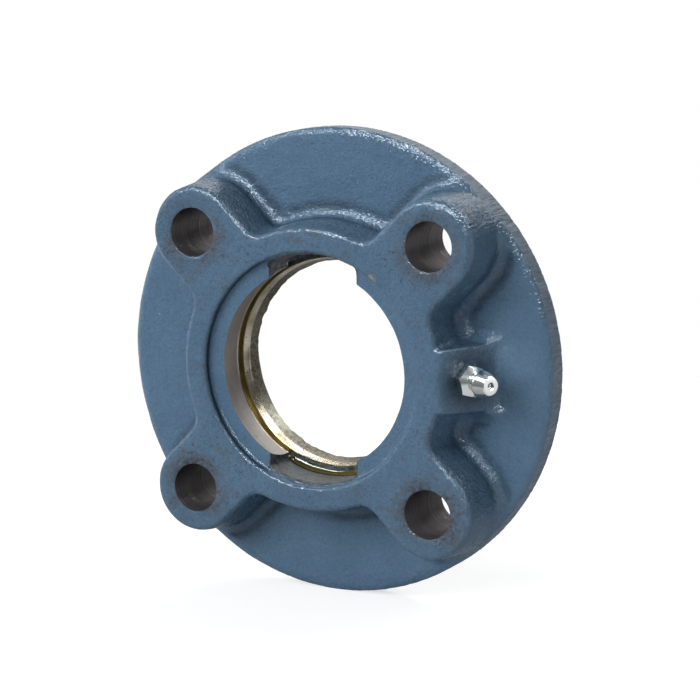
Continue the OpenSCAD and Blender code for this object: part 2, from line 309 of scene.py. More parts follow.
# %% [markdown]
# The skin lies where the field is zero. A volume library walks the grid and puts a small
# four-sided face on each cell that the skin crosses. With a little adaptivity it joins faces
# where the skin is nearly flat, which keeps the mesh light.

# %% The skin as a mesh
def to_frame(points):
    """From side, up and height in mm to the frame in metres: the front looks along -Y."""
    points = np.asarray(points, dtype=float)
    return np.stack([points[:, 0], -points[:, 2], points[:, 1]], axis=1) * MM


def new_object(name, data):
    """An object in the scene, from a mesh, a curve, a lamp or a lens."""
    obj = bpy.data.objects.new(name, data)
    bpy.context.scene.collection.objects.link(obj)
    return obj


def skin_of(field, name, adaptivity):
    grid = openvdb.FloatGrid(10.0)
    grid.copyFromArray(np.ascontiguousarray(field, dtype=np.float32))
    points, triangles, quads = grid.convertToPolygons(isovalue=0.0, adaptivity=adaptivity)
    faces = triangles.tolist() + quads.tolist()
    mesh = bpy.data.meshes.new(name)
    mesh.from_pydata(to_frame(LOW + STEP * points).tolist(), [], faces)
    shell = bmesh.new()
    shell.from_mesh(mesh)
    if shell.calc_volume(signed=True) < 0:
        bmesh.ops.reverse_faces(shell, faces=shell.faces)
    shell.to_mesh(mesh)
    shell.free()
    return new_object(name, mesh)


casting = skin_of(field, "painted_casting", adaptivity=0.02)
print("raw casting:", len(casting.data.polygons), "faces")

# %% [markdown]
# Machined faces are the opposite of cast ones: true, crisp and round. We make each cutting
# tool as a lathe-turned solid and subtract it, in the order of the machine shop. Where a tool
# breaks out into the wavy cast skin, the edge comes out irregular by itself, as it does on
# the real part behind the bearing seat.

# %% Turned solids and cuts
AROUND_BORE = Matrix.Rotation(math.radians(90), 4, "X")


def turned(name, profile, place=AROUND_BORE, segments=144, dents=None):
    """A closed solid turned from (radius, height) points in mm, whose ends lie on the axis.
    Dents are one depth in mm for each segment, taken off the outermost radius."""
    solid = bmesh.new()
    rings = []
    outermost = max(radius for radius, along in profile)
    for radius, along in profile:
        if radius < 1e-6:
            rings.append([solid.verts.new((0, 0, along * MM))])
            continue
        depths = dents if dents is not None and radius == outermost else np.zeros(segments)
        ring = []
        for i in range(segments):
            angle = math.tau * i / segments
            reach = (radius - depths[i]) * MM
            corner = (reach * math.cos(angle), reach * math.sin(angle), along * MM)
            ring.append(solid.verts.new(corner))
        rings.append(ring)
    for low, high in zip(rings, rings[1:]):
        for i in range(segments):
            j = i + 1
            corners = [low[i % len(low)], low[j % len(low)], high[j % len(high)], high[i % len(high)]]
            # At the axis two corners are one point, which is named only once.
            solid.faces.new(list(dict.fromkeys(corners)))
    bmesh.ops.recalc_face_normals(solid, faces=solid.faces)
    mesh = bpy.data.meshes.new(name)
    solid.to_mesh(mesh)
    solid.free()
    mesh.transform(place)
    return new_object(name, mesh)


def machine(work, tool, operation="DIFFERENCE"):
    """Applies one cut to the work and puts the tool away."""
    cut = work.modifiers.new("cut", "BOOLEAN")
    cut.solver = "MANIFOLD"
    cut.operation = operation
    cut.object = tool
    bpy.context.view_layer.update()
    evaluated = work.evaluated_get(bpy.context.evaluated_depsgraph_get())
    mesh = bpy.data.meshes.new_from_object(evaluated)
    work.modifiers.clear()
    old = work.data
    work.data = mesh
    mesh.name = old.name
    bpy.data.meshes.remove(old)
    bpy.data.objects.remove(tool)


# %% [markdown]
# First the lathe turns the back, the spigot and the rim, then the drill makes the four bolt
# holes. One turned body that the casting is kept inside of does all of the turning in a
# single cut. The rim was ground by hand, so its tool has small uneven dents, made from
# random numbers with a fixed seed. The drill is wider at both ends, which breaks the edges.

# %% Machine the back, the rim and the holes
SPIGOT_CHAMFER = 1.0
RIM_BREAK = 0.6
envelope = [
    (0, -SPIGOT_LEN),
    (SPIGOT_R - SPIGOT_CHAMFER, -SPIGOT_LEN),
    (SPIGOT_R, SPIGOT_CHAMFER - SPIGOT_LEN),
    (SPIGOT_R, 0),
    (RIM_R - RIM_BREAK, 0),
    (RIM_R, RIM_BREAK),
    (RIM_R, FRONT_H),
    (0, FRONT_H),
]
RIM_SEGMENTS = 1200
DENT_DEPTH = 0.16


def grinding_dents(segments, depth):
    """Uneven marks across the rim, some narrow and some wide, from 0 to this depth in mm."""
    rng = np.random.default_rng(8)
    fine = rng.random(segments) ** 2
    wide = np.repeat(rng.random(segments // 4), 4)
    return depth * (0.6 * fine + 0.4 * wide)


dents = grinding_dents(RIM_SEGMENTS, DENT_DEPTH)
machine(casting, turned("envelope", envelope, segments=RIM_SEGMENTS, dents=dents), "INTERSECT")

HOLE_BREAK = 0.2
OUT = 2.0
hole_profile = [
    (0, -OUT),
    (HOLE_R + HOLE_BREAK + OUT, -OUT),
    (HOLE_R, HOLE_BREAK),
    (HOLE_R, FRONT_H - HOLE_BREAK),
    (HOLE_R + HOLE_BREAK + OUT, FRONT_H + OUT),
    (0, FRONT_H + OUT),
]
for quarter in range(4):
    angle = math.radians(45 + 90 * quarter)
    centre = (BOLT_R * MM * math.cos(angle), 0, BOLT_R * MM * math.sin(angle))
    place = Matrix.Translation(centre) @ AROUND_BORE
    machine(casting, turned("drill", hole_profile, place, segments=96))
print("turned and drilled casting:", len(casting.data.polygons), "faces")

# %% [markdown]
# The seat is part of a ball, so that the bearing in it can tilt and line up with its shaft.
# Near its middle a groove leads grease round. On a lathe these are two cuts, but one turned
# solid can make both: its profile is a half circle with a square step for the groove. The
# loading slots and the relief behind the seat are wider than the ball and stay as cast.

# %% Machine the spherical seat and its grease groove
GROOVE_BREAK = 0.15
ARC_POINTS = 46


def on_ball(from_angle, to_angle):
    angles = np.linspace(from_angle, to_angle, ARC_POINTS)
    return [(SEAT_R * math.cos(a), SEAT_H + SEAT_R * math.sin(a)) for a in angles]


def seat_profile():
    rear_side = GROOVE_H - GROOVE_W / 2
    front_side = GROOVE_H + GROOVE_W / 2
    behind = on_ball(-math.pi / 2, math.asin((rear_side - GROOVE_BREAK - SEAT_H) / SEAT_R))
    groove = [(behind[-1][0] + GROOVE_BREAK, rear_side), (GROOVE_R, rear_side), (GROOVE_R, front_side)]
    return behind + groove + on_ball(math.asin((front_side - SEAT_H) / SEAT_R), math.pi / 2)


machine(casting, turned("seat_tool", seat_profile(), segments=288))
print("machined casting:", len(casting.data.polygons), "faces")

# %% [markdown]
# The nipple has a frame of its own: its axis leaves the boss at right angles to the leaning
# face. Its place comes from the tip of the nipple, which is a mount of the part, and from the
# length of the nipple over the boss.

# %% The nipple's own frame
NIPPLE_LEN = 9.2
SHANK_LEN = 5.5
SHANK_HOLE_R = 3.0
PASSAGE_R = 1.5
PASSAGE_END = 16.0
DRILL_OUT = 3.0
nipple_axis = Vector(MOUNTS["grease_nipple_head"]["axis"]).normalized()
nipple_tip = Vector(MOUNTS["grease_nipple_head"]["pos_m"])
nipple_foot = nipple_tip - nipple_axis * NIPPLE_LEN * MM
nipple_up = Vector((0, 0, 1))
nipple_side = nipple_up.cross(nipple_axis)
NIPPLE_PLACE = Matrix.Translation(nipple_foot) @ Matrix(
    (nipple_side, nipple_up, nipple_axis)
).transposed().to_4x4()

nipple_drill = [
    (0, -PASSAGE_END),
    (PASSAGE_R, -PASSAGE_END),
    (PASSAGE_R, -SHANK_LEN - 1),
    (SHANK_HOLE_R, -SHANK_LEN - 1),
    (SHANK_HOLE_R, DRILL_OUT),
    (0, DRILL_OUT),
]
machine(casting, turned("nipple_drill", nipple_drill, NIPPLE_PLACE, segments=64))
print("nipple foot at", nipple_foot, "faces now", len(casting.data.polygons))

# %% [markdown]
# The nipple is turned from hexagon bar: a plain round blank joined with a six-sided prism whose
# front corners are chamfered, and then drilled from both ends. A crimped lip at the inner end
# holds the spring, and a small seat behind the tip stops the ball. Solids that are joined and
# cut keep every edge true, which a smooth modelled form would round off.

# %% The nipple
SHANK_R = 2.97
SHANK_CHAMFER = 0.5
HEX_FLATS = 7.0
HEX_H = 3.0
HEX_TURN = math.radians(15)
NECK_R = 2.2
NECK_END = 3.9
HEAD_R = 3.25
HEAD_START = 6.0
HEAD_END = 6.3
TIP_R = 1.95
TIP_ROUND = 0.4
INLET_R = 0.85
INLET_BREAK = 0.4
DRILLING_R = 1.35
LIP_LEN = 0.5
HEX_CORNERS = 6


def nipple_blank():
    outside = [
        (0, -SHANK_LEN),
        (SHANK_R - SHANK_CHAMFER, -SHANK_LEN),
        (SHANK_R, SHANK_CHAMFER - SHANK_LEN),
        (SHANK_R, 0.01),
        (NECK_R, 0.5),
        (NECK_R, NECK_END - 0.1),
        (NECK_R + 0.1, NECK_END + 0.05),
        (HEAD_R - 0.08, HEAD_START - 0.18),
        (HEAD_R, HEAD_START),
        (HEAD_R, HEAD_END),
        (HEAD_R - 0.06, HEAD_END + 0.2),
    ]
    for a in np.linspace(0.5, math.pi / 2, 5):
        rise = NIPPLE_LEN - TIP_ROUND + TIP_ROUND * math.sin(a)
        outside.append((TIP_R + TIP_ROUND * math.cos(a), rise))
    return turned("nipple", outside + [(0, NIPPLE_LEN)], NIPPLE_PLACE, segments=72)


def hexagon():
    """The bar, chamfered by a cone that falls away from the neck at 30 degrees."""
    corner = HEX_FLATS / 2 / math.cos(math.radians(30))
    turn = Matrix.Rotation(-HEX_TURN, 4, "Z")
    bar = [(0, 0), (corner, 0), (corner, HEX_H), (0, HEX_H)]
    prism = turned("hexagon", bar, NIPPLE_PLACE @ turn, segments=HEX_CORNERS)
    slope = math.tan(math.radians(30))
    blank = corner + 1
    cone = [(0, -1), (blank, -1), (blank, HEX_H - (blank - NECK_R) * slope), (NECK_R, HEX_H), (0, HEX_H)]
    machine(prism, turned("cone", cone, NIPPLE_PLACE, segments=144), "INTERSECT")
    return prism


nipple = nipple_blank()
machine(nipple, hexagon(), "UNION")
drilling = [
    (0, -SHANK_LEN - 1),
    (INLET_R, -SHANK_LEN - 1),
    (INLET_R, -SHANK_LEN + LIP_LEN),
    (DRILLING_R, -SHANK_LEN + LIP_LEN),
    (DRILLING_R, NIPPLE_LEN - 1.1),
    (INLET_R, NIPPLE_LEN - 0.6),
    (INLET_R, NIPPLE_LEN - 0.08),
    (INLET_R + INLET_BREAK, NIPPLE_LEN - 0.08 + INLET_BREAK),
    (0, NIPPLE_LEN - 0.08 + INLET_BREAK),
]
machine(nipple, turned("drilling", drilling, NIPPLE_PLACE, segments=48))
print("nipple:", len(nipple.data.polygons), "faces")

# %% [markdown]
# Inside the nipple a ball closes the inlet, and a spring presses it there until grease pushes
# it back. The engineering model knows where the ball lies, so we take its place from the
# frame. The spring is wound as a curve with the wire's thickness and then made a mesh. Its
# first and last turn lie closed, as on a real compression spring, so that it stands straight.

# %% The ball and its spring
BALL_R = 1.2
SPRING_LOW, SPRING_HIGH = -4.825, 6.75
COIL_R = 1.0
WIRE_R = 0.125
OPEN_TURNS = 7
CLOSED_PITCH = 0.29
STEPS_PER_TURN = 24


def check_ball():
    ball = bmesh.new()
    bmesh.ops.create_icosphere(ball, subdivisions=4, radius=BALL_R * MM)
    mesh = bpy.data.meshes.new("check_ball")
    low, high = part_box("grease_nipple_ball")
    ball.to_mesh(mesh)
    ball.free()
    mesh.transform(Matrix.Translation((low + high) / 2))
    return new_object("check_ball_polished", mesh)


def spring_rise(turn):
    """How far the wire has risen after so many turns."""
    open_pitch = (SPRING_HIGH - SPRING_LOW - 2 * CLOSED_PITCH) / OPEN_TURNS
    return (
        min(turn, 1) * CLOSED_PITCH
        + min(max(turn - 1, 0), OPEN_TURNS) * open_pitch
        + max(turn - 1 - OPEN_TURNS, 0) * CLOSED_PITCH
    )


def check_spring():
    coil = bpy.data.curves.new("check_spring", "CURVE")
    coil.dimensions = "3D"
    coil.bevel_depth = WIRE_R * MM
    coil.bevel_resolution = 3
    coil.use_fill_caps = True
    total = (OPEN_TURNS + 2) * STEPS_PER_TURN
    spline = coil.splines.new("POLY")
    spline.points.add(total)
    for i in range(total + 1):
        angle = math.tau * i / STEPS_PER_TURN
        rise = SPRING_LOW + spring_rise(i / STEPS_PER_TURN)
        point = Vector((COIL_R * math.cos(angle), COIL_R * math.sin(angle), rise))
        spline.points[i].co = (*(NIPPLE_PLACE @ (point * MM)), 1)
    wire = new_object("wire", coil)
    bpy.context.view_layer.update()
    mesh = bpy.data.meshes.new_from_object(wire.evaluated_get(bpy.context.evaluated_depsgraph_get()))
    mesh.name = "check_spring"
    bpy.data.objects.remove(wire)
    return new_object("check_spring_wire", mesh)


ball = check_ball()
spring = check_spring()
print("ball:", len(ball.data.polygons), "faces, spring:", len(spring.data.polygons), "faces")

# %% [markdown]
# Paint, bare iron and grease meet on one casting, so its faces need to know what they are. A
# machined face lies exactly on the surface of its tool, which makes it easy to find again:
# we measure each face's middle against the sizes above. All that is left is cast skin.

# %% Sort the faces of the casting
SLOTS = ["cast", "rim", "back", "hole", "seat", "groove", "relief", "slot"]
ON_TOOL = 0.03


def rows_of(items, name):
    """A value with three parts of every face or vertex, one row each."""
    values = np.empty(len(items) * 3)
    items.foreach_get(name, values)
    return values.reshape(-1, 3)


def face_kinds(mesh):
    """The place in SLOTS of each face's finish. A later mark overrules an earlier one."""
    x, y, z = (rows_of(mesh.polygons, "center") / MM).T
    h = -y
    r = np.hypot(x, z)
    faces_back = rows_of(mesh.polygons, "normal")[:, 1]
    wall = np.abs(faces_back) < 0.3
    kinds = np.zeros(len(h), dtype=np.int32)

    def mark(kind, where):
        kinds[where] = SLOTS.index(kind)

    mark("relief", (h < SEAT_REAR + 0.9) & (r < RELIEF_R + 1.6))
    in_slot = (np.abs(x) < SLOT_W / 2 + 0.4) & (r < RECESS_R - 0.35)
    mark("slot", in_slot & (h > SEAT_REAR + 0.9) & (h < SEAT_FRONT + 0.2))
    spigot_end = (np.abs(h + SPIGOT_LEN) < ON_TOOL) & (faces_back > 0.9)
    spigot_side = (h < -ON_TOOL) & (r > SPIGOT_R - SPIGOT_CHAMFER - 0.2)
    mark("back", (np.abs(h) < ON_TOOL / 6) | spigot_side | spigot_end)
    mark("rim", (np.abs(r - RIM_R) < 0.2) & (h > 0) & wall)
    mark("rim", (r > RIM_R - RIM_BREAK) & (h > 0) & (h < RIM_BREAK) & (faces_back > 0.2))
    from_ball = np.hypot(r, h - SEAT_H)
    along_seat = (h > SEAT_REAR - 1) & (h < SEAT_FRONT + 1)
    mark("seat", (np.abs(from_ball - SEAT_R) < ON_TOOL) & along_seat)
    in_groove = (from_ball > SEAT_R + ON_TOOL) & (r < GROOVE_R + ON_TOOL)
    in_groove &= np.abs(h - GROOVE_H) < GROOVE_W / 2 + GROOVE_BREAK
    in_groove &= (np.abs(x) > SLOT_W / 2 + 0.9) | (faces_back > -0.9)
    mark("groove", in_groove)
    beside = np.abs(np.abs(x) - BOLT_R / math.sqrt(2))
    above = np.abs(np.abs(z) - BOLT_R / math.sqrt(2))
    from_hole = np.hypot(beside, above)
    mark("hole", (from_hole < HOLE_R + ON_TOOL) & wall)
    mark("back", (from_hole < HOLE_R + HOLE_BREAK + ON_TOOL) & (h < 1) & (faces_back > 0.3))
    return kinds


def crisp_where_machined(obj, kinds, corner=math.radians(38), meeting=0.3):
    """Smooth shading, with sharp edges where two finishes meet or a tool left a corner."""
    mesh = obj.data
    mesh.polygons.foreach_set("material_index", kinds)
    mesh.polygons.foreach_set("use_smooth", np.ones(len(kinds), dtype=bool))
    work = bmesh.new()
    work.from_mesh(mesh)
    for edge in work.edges:
        faces = edge.link_faces
        if len(faces) != 2:
            continue
        machined = faces[0].material_index + faces[1].material_index > 0
        meets = faces[0].material_index != faces[1].material_index
        edge.smooth = not (machined and edge.calc_face_angle(0) > (meeting if meets else corner))
    work.to_mesh(mesh)
    work.free()


kinds = face_kinds(casting.data)
crisp_where_machined(casting, kinds)
print({name: int((kinds == i).sum()) for i, name in enumerate(SLOTS)})

# %% [markdown]
# The distance field has one more use. One step out along a face's normal, the field of an
# open face has grown by the whole step, but in a pocket another wall comes near and it has
# grown by less. One step inwards tells the same of outer edges. So two numbers for each
# corner of the mesh say how sheltered and how exposed the place is. The paint uses them for
# painted light: sheltered places are painted darker as painted shade, and exposed edges paler
# as a painted highlight together with some thinned paint.

# %% Sheltered and exposed places
def field_at(points):
    """Reads the field between the points of the grid. Past its end the way there is added."""
    place = np.clip((points - LOW) / STEP, 0, COUNT - 1.001)
    cell = place.astype(int)
    part = place - cell
    value = np.linalg.norm(points - (LOW + place * STEP), axis=1)
    for corner in np.ndindex(2, 2, 2):
        weight = np.prod(np.where(corner, part, 1 - part), axis=1)
        i, j, k = (cell + corner).T
        value += weight * field[i, j, k]
    return value


def to_grid(rows):
    """The reverse turn of to_frame: side, up and height."""
    return np.stack([rows[:, 0], rows[:, 2], -rows[:, 1]], axis=1)


def write_number(mesh, name, values):
    attribute = mesh.attributes.new(name, "FLOAT", "POINT")
    attribute.data.foreach_set("value", np.clip(values, 0, 1).astype(np.float32))
    print(name, "up to", round(float(values.max()), 2))


def mark_shelter(mesh, far=7.0, near=1.3):
    points = to_grid(rows_of(mesh.vertices, "co") / MM)
    normals = to_grid(rows_of(mesh.vertices, "normal"))
    write_number(mesh, "shelter", 1 - field_at(points + far * normals) / far)
    write_number(mesh, "edge", 1 + field_at(points - near * normals) / near)


mark_shelter(casting.data)

# %% [markdown]
# Each finish is a procedural material. Effects that several finishes share are node groups
# with named inputs, so that a group is built once and tuned where it is used. A group only
# puts out heights, masks and colours. The shader itself stays in the material.

# %% Small helpers for node trees
def feed(tree, socket, value):
    """Links another socket's value to this one, or sets a constant on it."""
    if isinstance(value, bpy.types.NodeSocket):
        tree.links.new(value, socket)
    else:
        socket.default_value = value


def add_node(tree, kind, values=None, **settings):
    """A node with its settings and its input values."""
    node = tree.nodes.new(kind)
    for name, value in settings.items():
        setattr(node, name, value)
    for name, value in (values or {}).items():
        feed(tree, node.inputs[name], value)
    return node


def math_node(tree, operation, *values):
    """One step of arithmetic on two or three values."""
    return add_node(tree, "ShaderNodeMath", dict(enumerate(values)), operation=operation).outputs[0]


def times(tree, a, b):
    return math_node(tree, "MULTIPLY", a, b)


def times_plus(tree, value, factor, offset):
    return math_node(tree, "MULTIPLY_ADD", value, factor, offset)


def vector_node(tree, operation, *values, output="Vector"):
    node = add_node(tree, "ShaderNodeVectorMath", dict(enumerate(values)), operation=operation)
    return node.outputs[output]


def parts_of(tree, vector):
    return add_node(tree, "ShaderNodeSeparateXYZ", {"Vector": vector}).outputs


def ramp(tree, value, low, high):
    """Runs softly from 0 to 1 while the value goes from low to high, which may be the smaller."""
    limits = {"Value": value, "From Min": low, "From Max": high}
    return add_node(tree, "ShaderNodeMapRange", limits, interpolation_type="SMOOTHSTEP").outputs["Result"]


def spread(tree, value, low, high):
    """Runs evenly from low to high while the value goes from 0 to 1."""
    limits = {"Value": value, "To Min": low, "To Max": high}
    return add_node(tree, "ShaderNodeMapRange", limits).outputs["Result"]


def mix_value(tree, amount, a, b):
    return add_node(tree, "ShaderNodeMix", {0: amount, 2: a, 3: b}, data_type="FLOAT").outputs[0]


def mix_color(tree, amount, a, b):
    a, b = ((*color, 1) if isinstance(color, tuple) else color for color in (a, b))
    return add_node(tree, "ShaderNodeMix", {0: amount, 6: a, 7: b}, data_type="RGBA").outputs[2]


def noise(tree, where, size_mm, detail=2.0, roughness=0.5, distortion=0.0):
    """Cloudy values whose patches measure about this many mm."""
    values = {
        "Vector": where,
        "Scale": 1 / (size_mm * MM),
        "Detail": detail,
        "Roughness": roughness,
        "Distortion": distortion,
    }
    return add_node(tree, "ShaderNodeTexNoise", values).outputs["Fac"]


def new_group(name, inputs, outputs):
    """An empty node group. Inputs are {name: "vector" or a default number}, outputs are names."""
    group = bpy.data.node_groups.new(name, "ShaderNodeTree")
    for label, default in inputs.items():
        vector = default == "vector"
        kind = "NodeSocketVector" if vector else "NodeSocketFloat"
        socket = group.interface.new_socket(label, in_out="INPUT", socket_type=kind)
        if not vector:
            socket.default_value = default
    for label in outputs:
        group.interface.new_socket(label, in_out="OUTPUT", socket_type="NodeSocketFloat")
    print("shared effect", name, "takes", list(inputs), "and gives", outputs)
    return group, group.nodes.new("NodeGroupInput").outputs, group.nodes.new("NodeGroupOutput").inputs


def use_group(tree, group, values):
    return add_node(tree, "ShaderNodeGroup", values, node_tree=group).outputs


# %% [markdown]
# Sand leaves lumps of two or three millimetres in the iron and grains under a millimetre on
# top of them, and the paint adds a fine skin of its own. An image would repeat and blur close
# up, so three layers of noise are added instead, one for each size.

# %% Shared effect: sand-cast grain
def build_cast_grain():
    group, given, result = new_group(
        "cast_grain", {"Where": "vector", "Lumps": 1.0, "Peel": 1.0}, ["Height", "Tone"]
    )
    lumps = noise(group, given["Where"], 2.6, detail=2.0, roughness=0.55)
    grains = noise(group, given["Where"], 0.8, detail=1.0)
    peel = noise(group, given["Where"], 0.4, detail=1.0)
    height = times(group, times_plus(group, grains, 0.5, lumps), given["Lumps"])
    fine = times(group, peel, given["Peel"])
    group.links.new(times_plus(group, fine, 0.34, height), result["Height"])
    group.links.new(lumps, result["Tone"])
    return group


CAST_GRAIN = build_cast_grain()

# %% [markdown]
# Rust, dirt and oil lie in patches with ragged outlines. A cloud of noise cut off at a chosen
# level gives such patches. The level follows from the share of the surface to be covered, and
# the softness of the cut decides whether they look sprayed or soaked in.

# %% Shared effect: blotches of rust, dirt and oil
def build_blotches():
    group, given, result = new_group(
        "blotches", {"Where": "vector", "Size": 4.0, "Cover": 0.3, "Soft": 0.08}, ["Mask"]
    )
    scale = math_node(group, "DIVIDE", 1 / MM, given["Size"])
    cloud_values = {"Vector": given["Where"], "Scale": scale, "Detail": 6.0, "Roughness": 0.65}
    cloud = add_node(group, "ShaderNodeTexNoise", cloud_values).outputs["Fac"]
    edge = math_node(group, "SUBTRACT", 0.75, times(group, given["Cover"], 0.5))
    low = math_node(group, "SUBTRACT", edge, given["Soft"])
    high = math_node(group, "ADD", edge, given["Soft"])
    group.links.new(ramp(group, cloud, low, high), result["Mask"])
    return group


BLOTCHES = build_blotches()

# %% [markdown]
# A turning or drilling tool leaves one fine ring for each turn of the spindle, and some rings
# come out brighter than others. The rings run round the bore. On a bore they follow each
# other along the axis, on a flat face outwards, so one input chooses the direction.

# %% Shared effect: marks of a turning or drilling tool
def build_tool_marks():
    group, given, result = new_group(
        "tool_marks", {"Where": "vector", "Along": 1.0, "Pitch": 0.2}, ["Height", "Streak"]
    )
    parts = parts_of(group, given["Where"])
    squares = [times(group, parts[part], parts[part]) for part in ("X", "Z")]
    radius = math_node(group, "SQRT", math_node(group, "ADD", *squares))
    path = mix_value(group, given["Along"], radius, parts["Y"])
    turns = math_node(group, "DIVIDE", times(group, path, 1 / MM), given["Pitch"])
    lane_values = {"W": turns, "Scale": 0.6, "Detail": 3.0, "Roughness": 0.7}
    lane = add_node(group, "ShaderNodeTexNoise", lane_values, noise_dimensions="1D").outputs["Fac"]
    wave = math_node(group, "SINE", times(group, turns, math.tau))
    group.links.new(times_plus(group, wave, 0.25, lane), result["Height"])
    group.links.new(lane, result["Streak"])
    return group


TOOL_MARKS = build_tool_marks()

# %% [markdown]
# Every finish below is one Principled shader. What stays the same all over, such as the
# metallic share, is set on the shader's own socket. Colour, roughness and relief change over
# the surface and come in by links, and the relief works through a bump node.

# %% A new material with its shader
def new_material(name, **shader_values):
    material = bpy.data.materials.new(name)
    material.use_nodes = True
    tree = material.node_tree
    shader = tree.nodes["Principled BSDF"]
    for label, value in shader_values.items():
        shader.inputs[label.replace("_", " ")].default_value = value
    where = add_node(tree, "ShaderNodeTexCoord").outputs["Object"]
    print("new finish:", name)
    return material, tree, shader, where


def finish_surface(tree, shader, color, roughness, height, depth_mm):
    """Feeds the shader with what changes over the surface."""
    tree.links.new(color, shader.inputs["Base Color"])
    tree.links.new(roughness, shader.inputs["Roughness"])
    bump_values = {"Height": height, "Strength": 1.0, "Distance": depth_mm * MM}
    bump = add_node(tree, "ShaderNodeBump", bump_values)
    tree.links.new(bump.outputs["Normal"], shader.inputs["Normal"])


# %% [markdown]
# The paint is a steel blue gloss over sand-cast iron. It follows the grain of the mould, which
# breaks every highlight into sparks. Rust and handling have stained the front face, most of
# all round the bolt holes, so the stains are placed by the distance to the nearest hole. One
# formula serves all four holes, because the ears mirror each other.

# %% Stains, rust and specks on the paint
BLUE = (0.074, 0.140, 0.221)
BLUE_PALE = (0.088, 0.161, 0.249)
BLUE_DARK = (0.050, 0.104, 0.170)
STAIN = (0.050, 0.046, 0.045)
RUST = (0.085, 0.068, 0.052)
SPECK = (0.035, 0.028, 0.026)
STAIN_FROM, STAIN_FULL = 11.5, 6.0


def distance_to_holes(tree, where):
    """Distance in mm from the nearest bolt hole's axis, the same on every ear."""
    parts = parts_of(tree, where)
    offset = BOLT_R * MM / math.sqrt(2)
    squares = []
    for part in ("X", "Z"):
        away = math_node(tree, "SUBTRACT", math_node(tree, "ABSOLUTE", parts[part]), offset)
        squares.append(times(tree, away, away))
    return times(tree, math_node(tree, "SQRT", math_node(tree, "ADD", *squares)), 1 / MM)


def blotches(tree, where, size, cover, soft):
    values = {"Where": where, "Size": size, "Cover": cover, "Soft": soft}
    return use_group(tree, BLOTCHES, values)["Mask"]


def stained_paint(tree, where, color, front):
    """The colour with its marks, and how far each place is stained."""
    patch = ramp(tree, noise(tree, where, 9.0), 0.36, 0.62)
    near_hole = ramp(tree, distance_to_holes(tree, where), STAIN_FROM, STAIN_FULL)
    near_hole = times(tree, near_hole, times_plus(tree, patch, 0.7, 0.3))
    stains = blotches(tree, where, 1.3, 0.6, 0.2)
    stained = times(tree, times(tree, stains, front), times_plus(tree, near_hole, 0.85, 0.08))
    color = mix_color(tree, stained, color, STAIN)
    rust = times(tree, blotches(tree, where, 5.0, 0.3, 0.04), front)
    color = mix_color(tree, times(tree, rust, times(tree, stains, 0.5)), color, RUST)
    specks = blotches(tree, where, 0.9, times_plus(tree, near_hole, 0.12, 0.28), 0.03)
    speck_share = math_node(tree, "MAXIMUM", near_hole, times(tree, front, patch))
    speck_share = times_plus(tree, speck_share, 0.4, 0.22)
    return mix_color(tree, times(tree, specks, speck_share), color, SPECK), stained


# %% [markdown]
# Use has marked the paint, and light is painted into it as well. A chip at the mouth of the
# recess shows bare metal. The most exposed edges are paler: partly paint that has thinned out,
# partly a painted highlight. Sheltered corners are darker as painted shade, and round the
# nipple the boss face is darker with old grease grime and painted shade. The two numbers that
# we wrote into the mesh tell the shader where those edges and corners are.

# %% Chip, thin edges and grime on the paint, with painted highlight and painted shade
CHIP = (0.23, 0.20, 0.17)
# Pale blue for paint thinned on exposed edges, and for the painted highlight along them.
THIN_PAINT_AND_HIGHLIGHT = (0.16, 0.25, 0.33)
# The dark of old grease grime, and of painted shade in sheltered corners and on the boss face.
GRIME_AND_SHADE = (0.010, 0.012, 0.017)
CHIP_R = 1.8
CHIP_ANGLE = math.radians(54)
CHIP_PLACE = Vector((math.cos(CHIP_ANGLE) * RECESS_R, -FRONT_H, math.sin(CHIP_ANGLE) * RECESS_R)) * MM
NIPPLE_GRIME_AND_SHADE_FROM, NIPPLE_GRIME_AND_SHADE_FULL = 10.0, 4.0


def number_of(tree, name):
    return add_node(tree, "ShaderNodeAttribute", attribute_name=name).outputs["Fac"]


def distance_to(tree, where, place):
    return vector_node(tree, "DISTANCE", where, tuple(place), output="Value")


def worn_paint_and_painted_light(tree, where, color, lumps, tone, mottle):
    """The colour with chip, wear and painted light, and how far grime and painted shade darken each place.
    """
    chipped = times_plus(tree, mottle, 1.6 * MM, distance_to(tree, where, CHIP_PLACE))
    color = mix_color(tree, ramp(tree, chipped, (CHIP_R + 0.4) * MM, CHIP_R * MM), color, CHIP)
    # Painted highlight: the most exposed edges are made paler, partly thinned paint and partly a painted
    # highlight on the rounded edges.
    worn_and_highlit = times(tree, ramp(tree, number_of(tree, "edge"), 0.1, 0.6), ramp(tree, lumps, 0.45, 0.6))
    color = mix_color(tree, times(tree, worn_and_highlit, 0.14), color, THIN_PAINT_AND_HIGHLIGHT)
    # Painted shade: sheltered corners and pockets are darkened in the colour, where hub, ears and boss keep
    # the light out.
    shelter = ramp(tree, number_of(tree, "shelter"), 0.2, 0.7)
    from_nipple = distance_to(tree, where, nipple_foot)
    # Round the nipple the boss face is darkened: partly old grease grime, partly painted shade on a face
    # turned from the light.
    at_nipple = ramp(tree, from_nipple, NIPPLE_GRIME_AND_SHADE_FROM * MM, NIPPLE_GRIME_AND_SHADE_FULL * MM)
    at_nipple = times(tree, at_nipple, times_plus(tree, tone, 0.6, 0.38))
    grime_and_shade = math_node(tree, "MAXIMUM", times(tree, shelter, 0.92), at_nipple)
    return mix_color(tree, grime_and_shade, color, GRIME_AND_SHADE), grime_and_shade


# %% [markdown]
# Now the layers come together. The tall walls slid along the sand when the pattern was drawn,
# so they carry fine scratches along the bore and shine less than the faces. The front face is
# the smoothest, and the grime, the painted shade and the stains are dull.

# %% Painted casting
FACE_FROM, FACE_FULL = 19.5, 20.6
DRAWN_SCALE = (1, 0.22, 1)


